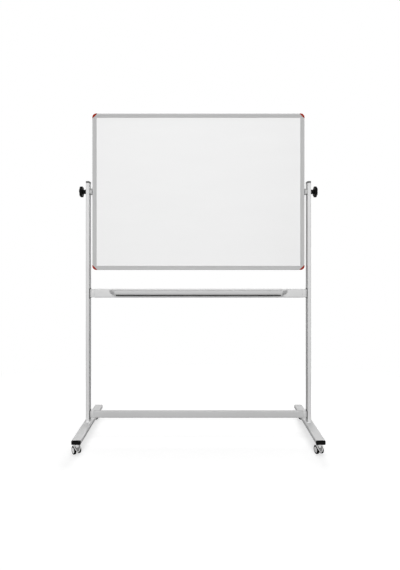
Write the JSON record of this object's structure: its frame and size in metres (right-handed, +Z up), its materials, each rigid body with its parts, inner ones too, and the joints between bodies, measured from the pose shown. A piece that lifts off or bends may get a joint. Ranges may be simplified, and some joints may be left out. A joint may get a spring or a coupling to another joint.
{
  "type": "rolling whiteboard",
  "caption": "Framed whiteboard that flips over between the posts of a wheeled steel stand, with star clamping knobs, a pen tray on a cross bar and swivelling twin-wheel casters.",
  "frame": {"origin": "on the floor, midway between the posts and midway along the feet", "axes": "+Z up, +X to the right of someone who faces the tray side, -Y towards that person"},
  "size_m": [1.3642, 0.52, 1.852],
  "materials": {
    "silver_tube": "satin silver paint",
    "rail_aluminium": "satin anodised",
    "tray_aluminium": "satin anodised",
    "white_enamel": "gloss white enamel",
    "honeycomb": "raw board",
    "orange_plastic": "gloss moulded",
    "grey_plastic": "matte moulded",
    "bar_end_metal": "satin cast",
    "black_plastic": "satin moulded",
    "black_rubber": "matte",
    "bush_plastic": "matte moulded",
    "bright_steel": "zinc plated",
    "hood_grey": "silver-grey moulded",
    "wheel_black": "satin tread"
  },
  "bodies": {
    "stand": {"foot_left": "silver_tube", "foot_right": "silver_tube", "foot_cap_front_left": "black_plastic", "foot_cap_front_right": "black_plastic", "foot_cap_rear_left": "black_plastic", "foot_cap_rear_right": "black_plastic", "post_left": "silver_tube", "post_right": "silver_tube", "post_cap_left": "grey_plastic", "post_cap_right": "grey_plastic", "tray_bar": "silver_tube", "tray_bar_end_left": "bar_end_metal", "tray_bar_end_right": "bar_end_metal", "base_bar": "silver_tube", "base_bar_end_left": "bar_end_metal", "base_bar_end_right": "bar_end_metal", "pen_tray": "tray_aluminium", "tray_edge_trim": "black_rubber", "pivot_bush_left": "bush_plastic", "knob_washer_left": "bright_steel", "pivot_bush_right": "bush_plastic", "knob_washer_right": "bright_steel", "caster_stem_front_left": "bright_steel", "caster_stem_front_right": "bright_steel", "caster_stem_rear_left": "bright_steel", "caster_stem_rear_right": "bright_steel"},
    "board": {"board_core": "honeycomb", "writing_sheet_front": "white_enamel", "writing_sheet_back": "white_enamel", "frame_top": "rail_aluminium", "frame_bottom": "rail_aluminium", "frame_left": "rail_aluminium", "frame_right": "rail_aluminium", "corner_cap_top_left": "orange_plastic", "corner_cap_top_right": "orange_plastic", "corner_cap_bottom_left": "orange_plastic", "corner_cap_bottom_right": "orange_plastic", "pivot_block_left": "bright_steel", "pivot_block_right": "bright_steel"},
    "clamp_left": {"knob_left": "black_plastic", "knob_screw_left": "bright_steel"},
    "clamp_right": {"knob_right": "black_plastic", "knob_screw_right": "bright_steel"},
    "caster_front_left": {"caster_hood_front_left": "hood_grey", "caster_axle_front_left": "bright_steel"},
    "wheel_front_left_a": {"caster_wheel_front_left_a": "wheel_black"},
    "wheel_front_left_b": {"caster_wheel_front_left_b": "wheel_black"},
    "caster_front_right": {"caster_hood_front_right": "hood_grey", "caster_axle_front_right": "bright_steel"},
    "wheel_front_right_a": {"caster_wheel_front_right_a": "wheel_black"},
    "wheel_front_right_b": {"caster_wheel_front_right_b": "wheel_black"},
    "caster_rear_left": {"caster_hood_rear_left": "hood_grey", "caster_axle_rear_left": "bright_steel"},
    "wheel_rear_left_a": {"caster_wheel_rear_left_a": "wheel_black"},
    "wheel_rear_left_b": {"caster_wheel_rear_left_b": "wheel_black"},
    "caster_rear_right": {"caster_hood_rear_right": "hood_grey", "caster_axle_rear_right": "bright_steel"},
    "wheel_rear_right_a": {"caster_wheel_rear_right_a": "wheel_black"},
    "wheel_rear_right_b": {"caster_wheel_rear_right_b": "wheel_black"}
  },
  "joints": [
    {"name": "board_flip", "type": "hinge", "parent": "stand", "child": "board", "pos_m": [0, 0, 1.402], "axis": [1, 0, 0], "continuous": true},
    {"name": "knob_left_turn", "type": "hinge", "parent": "board", "child": "clamp_left", "pos_m": [-0.6245, 0, 1.402], "axis": [-1, 0, 0], "range_deg": [0, 450]},
    {"name": "knob_right_turn", "type": "hinge", "parent": "board", "child": "clamp_right", "pos_m": [0.6245, 0, 1.402], "axis": [1, 0, 0], "range_deg": [0, 450]},
    {"name": "caster_front_left_swivel", "type": "hinge", "parent": "stand", "child": "caster_front_left", "pos_m": [-0.6345, -0.236, 0.05], "axis": [0, 0, 1], "continuous": true},
    {"name": "wheel_front_left_a_spin", "type": "hinge", "parent": "caster_front_left", "child": "wheel_front_left_a", "pos_m": [-0.64066, -0.22812, 0.021], "axis": [-0.788, -0.6157, 0], "continuous": true},
    {"name": "wheel_front_left_b_spin", "type": "hinge", "parent": "caster_front_left", "child": "wheel_front_left_b", "pos_m": [-0.64066, -0.22812, 0.021], "axis": [-0.788, -0.6157, 0], "continuous": true},
    {"name": "caster_front_right_swivel", "type": "hinge", "parent": "stand", "child": "caster_front_right", "pos_m": [0.6345, -0.236, 0.05], "axis": [0, 0, 1], "continuous": true},
    {"name": "wheel_front_right_a_spin", "type": "hinge", "parent": "caster_front_right", "child": "wheel_front_right_a", "pos_m": [0.63208, -0.2263, 0.021], "axis": [-0.9703, -0.2419, 0], "continuous": true},
    {"name": "wheel_front_right_b_spin", "type": "hinge", "parent": "caster_front_right", "child": "wheel_front_right_b", "pos_m": [0.63208, -0.2263, 0.021], "axis": [-0.9703, -0.2419, 0], "continuous": true},
    {"name": "caster_rear_left_swivel", "type": "hinge", "parent": "stand", "child": "caster_rear_left", "pos_m": [-0.6345, 0.236, 0.05], "axis": [0, 0, 1], "continuous": true},
    {"name": "wheel_rear_left_a_spin", "type": "hinge", "parent": "caster_rear_left", "child": "wheel_rear_left_a", "pos_m": [-0.6444, 0.23739, 0.021], "axis": [-0.1392, -0.9903, 0], "continuous": true},
    {"name": "wheel_rear_left_b_spin", "type": "hinge", "parent": "caster_rear_left", "child": "wheel_rear_left_b", "pos_m": [-0.6444, 0.23739, 0.021], "axis": [-0.1392, -0.9903, 0], "continuous": true},
    {"name": "caster_rear_right_swivel", "type": "hinge", "parent": "stand", "child": "caster_rear_right", "pos_m": [0.6345, 0.236, 0.05], "axis": [0, 0, 1], "continuous": true},
    {"name": "wheel_rear_right_a_spin", "type": "hinge", "parent": "caster_rear_right", "child": "wheel_rear_right_a", "pos_m": [0.6444, 0.23739, 0.021], "axis": [-0.1392, 0.9903, 0], "continuous": true},
    {"name": "wheel_rear_right_b_spin", "type": "hinge", "parent": "caster_rear_right", "child": "wheel_rear_right_b", "pos_m": [0.6444, 0.23739, 0.021], "axis": [-0.1392, 0.9903, 0], "continuous": true}
  ]
}
